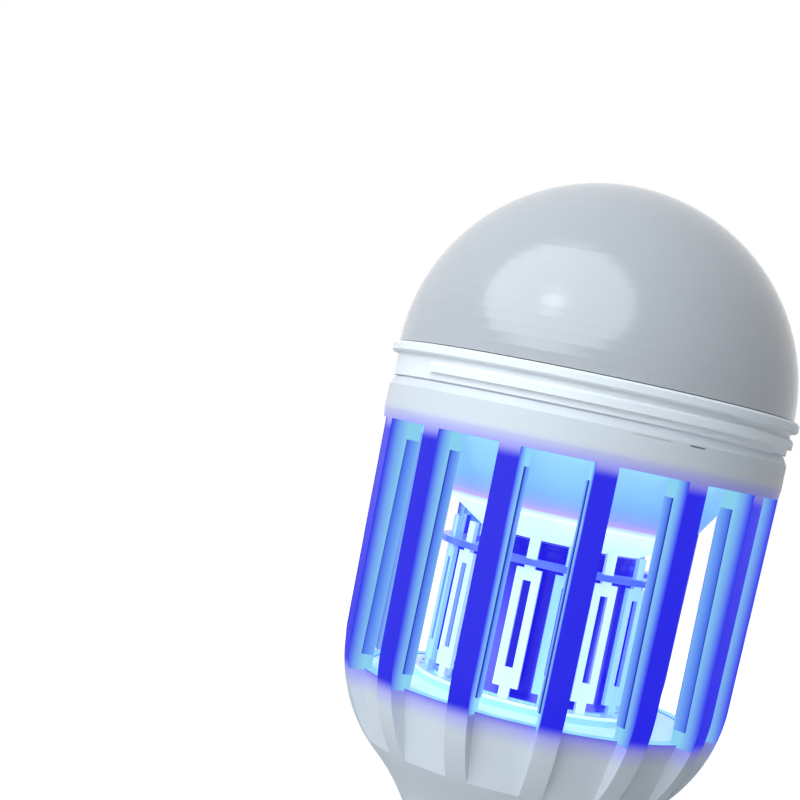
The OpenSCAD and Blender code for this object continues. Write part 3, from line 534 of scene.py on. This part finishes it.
# Grid. Strips stamped from stainless sheet, brushed along their length, standing in turn on the
# live ring and on the earthed one. Outside they mirror the bright bowl's light off the bars;
# inside they show the violet of the chamber.
BRUSH_MM, BRUSH_DEPTH = 1 / 3, 0.00002
STRIP_PAINTED_REFLECTIONS = {  # node: (material, the darker and the paler painted reflection on its outer faces)
    "live_grid": ("stamped_stainless_live", "#7cc0f0", "#c6f2fa"),
    "earth_grid": ("stamped_stainless_earthed", "#b4e8f6", "#f0fff4"),
}
for node, (name, dark, pale) in STRIP_PAINTED_REFLECTIONS.items():
    steel, tree, shader = surface(name, "#c4d4e2", 0.36,
                                  {"Metallic": 0.45, "Emission Strength": 0.6})
    place = add(tree, "ShaderNodeTexCoord")
    brush = add(tree, "ShaderNodeMapping",
                {"Vector": place.outputs["Object"],
                 "Scale": (1000.0 / BRUSH_MM, 1000.0 / BRUSH_MM, 1000.0 / PATCH_MM)})
    streak = add(tree, "ShaderNodeTexNoise", {"Vector": brush, "Scale": 1.0, "Detail": 2.0})
    # Painted light: the outer faces glow with a painted reflection of the bowl's light, streaked
    # along the brushing, and the inner faces with a painted violet glow.
    outside = add(tree, "ShaderNodeMix", {"Factor": streak, "A": srgb(dark), "B": srgb(pale)},
                  data_type="RGBA")
    outer = add(tree, "ShaderNodeMapRange",
                {"Value": facing_of(tree), "From Min": -0.4, "From Max": 0.4},
                interpolation_type="SMOOTHSTEP")
    tint = add(tree, "ShaderNodeMix", {"Factor": outer, "A": srgb("#2a1ee6"), "B": outside},
               data_type="RGBA")
    bump = add(tree, "ShaderNodeBump",
               {"Height": streak, "Distance": BRUSH_DEPTH, "Strength": 0.5})
    wire(tree, shader, {"Base Color": tint, "Emission Color": tint, "Normal": bump})
    dress(steel, node)


# Violet light. Six LEDs on a board with a white solder mask shine down through a frosted bowl of
# moulded polycarbonate in the funnel's mouth, which the picture shows almost white with a
# green-blue cast. A small dark spot on its side is the place where the mould was filled.
CLOUD_MM = 11.111
GATE_AT, GATE_R, GATE_EDGE_R = (0.0031, -0.0195, 0.1062), 0.0006, 0.0009
bowl, tree, shader = surface("frosted_polycarbonate", "#d8fff8", 0.35,
                             {"IOR": 1.58, "Emission Strength": 0.8})
place = add(tree, "ShaderNodeTexCoord")
clouds = add(tree, "ShaderNodeTexNoise",
             {"Vector": place.outputs["Object"], "Scale": 1000.0 / CLOUD_MM, "Detail": 2.0})
tint = add(tree, "ShaderNodeMix",
           {"Factor": clouds, "A": srgb("#ccfaf4"), "B": srgb("#e6fffb")}, data_type="RGBA")
gate = add(tree, "ShaderNodeVectorMath", {0: place.outputs["Object"], 1: GATE_AT},
           operation="DISTANCE")
gate = add(tree, "ShaderNodeMapRange",
           {"Value": gate, "From Min": GATE_EDGE_R, "From Max": GATE_R},
           interpolation_type="SMOOTHSTEP")
tint = add(tree, "ShaderNodeMix", {"Factor": gate, "A": tint, "B": srgb("#27406e")},
           data_type="RGBA")
wire(tree, shader, {"Base Color": tint, "Emission Color": tint})
dress(bowl, "uv_diffuser")

white_mask, tree, shader = surface("white_solder_mask", "#eef0f2", 0.35)
grain(tree, shader, size_mm=0.6, height_mm=0.01, darkest=0.93)
dress(white_mask, "uv_board", "led_board")

violet_led, tree, shader = surface("lit_violet_led", "#d9d2ff", 0.3,
                                   {"Emission Color": srgb("#8f7bff"), "Emission Strength": 1.5})
grain(tree, shader, size_mm=0.5, height_mm=0.01, darkest=0.9)
dress(violet_led, "uv_leds")


# Light funnel. A white ABS moulding between the bowl and the band, held by a shelf in the band
# and lit from below: violet right over the bowl, light blue on its cone and greyer blue where it
# goes up under the band.
CONE_LOW, CONE_TOP = 0.1090, 0.1215
funnel, tree, shader = surface("funnel_abs", "#b4cdf6", 0.4,
                               {"IOR": 1.54, "Emission Strength": 0.5})
rise = add(tree, "ShaderNodeMapRange",
           {"Value": height_of(tree), "From Min": CONE_LOW, "From Max": CONE_TOP})
lit = add(tree, "ShaderNodeValToRGB", {"Fac": rise},
          steps=[(0.0, "#e4fff8"), (0.06, "#e4fff8"), (0.10, "#cfaef2"), (0.2, "#a0b0f4"),
                 (0.36, "#8abcf2"), (0.6, "#94cfee"), (1.0, "#aadce8")])
wire(tree, shader, {"Base Color": lit, "Emission Color": lit})
grain(tree, shader, size_mm=0.35, height_mm=0.01, darkest=0.93)
dress(funnel, "light_funnel")


# White light. LEDs with matt yellow faces on a white board, screwed to the funnel with a plate of
# milled aluminium under it, which is dull silver with fine marks. The dome hides them.
plate, tree, shader = surface("milled_aluminium", "#c9ccd0", 0.34, {"Metallic": 1.0})
grain(tree, shader, size_mm=0.25, height_mm=0.01, darkest=0.9, spread=0.06)
dress(plate, "heat_plate")

phosphor, tree, shader = surface("led_phosphor", "#ead77a", 0.45)
grain(tree, shader, size_mm=0.3, height_mm=0.01, darkest=0.9)
dress(phosphor, "white_leds")


# Collar. A ring of satin white ABS with a flange and a rib, moulded like the housing. Its colour
# is painted whiter, a painted lift against the shade that the flange casts on it. It is turned
# down over the neck on its thread and holds the dome by its foot.
collar_abs_painted_lift, tree, shader = surface("collar_abs_painted_lift", "#f6f8fb", 0.4, ABS_FINISH)
grain(tree, shader, **ABS_GRAIN)
dress(collar_abs_painted_lift, "retaining_collar")


# Dome. Polycarbonate filled with white pigment, blown smooth: milky, with a soft gloss. Unlit, it
# looks greyer than the housing, because some of the light goes in and is lost. Its foot stands
# in the collar.
milky, tree, shader = surface(
    "milky_polycarbonate", "#babbc0", 0.15,
    {"IOR": 1.58, "Subsurface Weight": 0.12, "Subsurface Radius": (0.004, 0.004, 0.005),
     "Subsurface Scale": 1.0})
grain(tree, shader, size_mm=2.5, height_mm=0.004, darkest=0.97, spread=0.03)
dress(milky, "diffuser_dome")
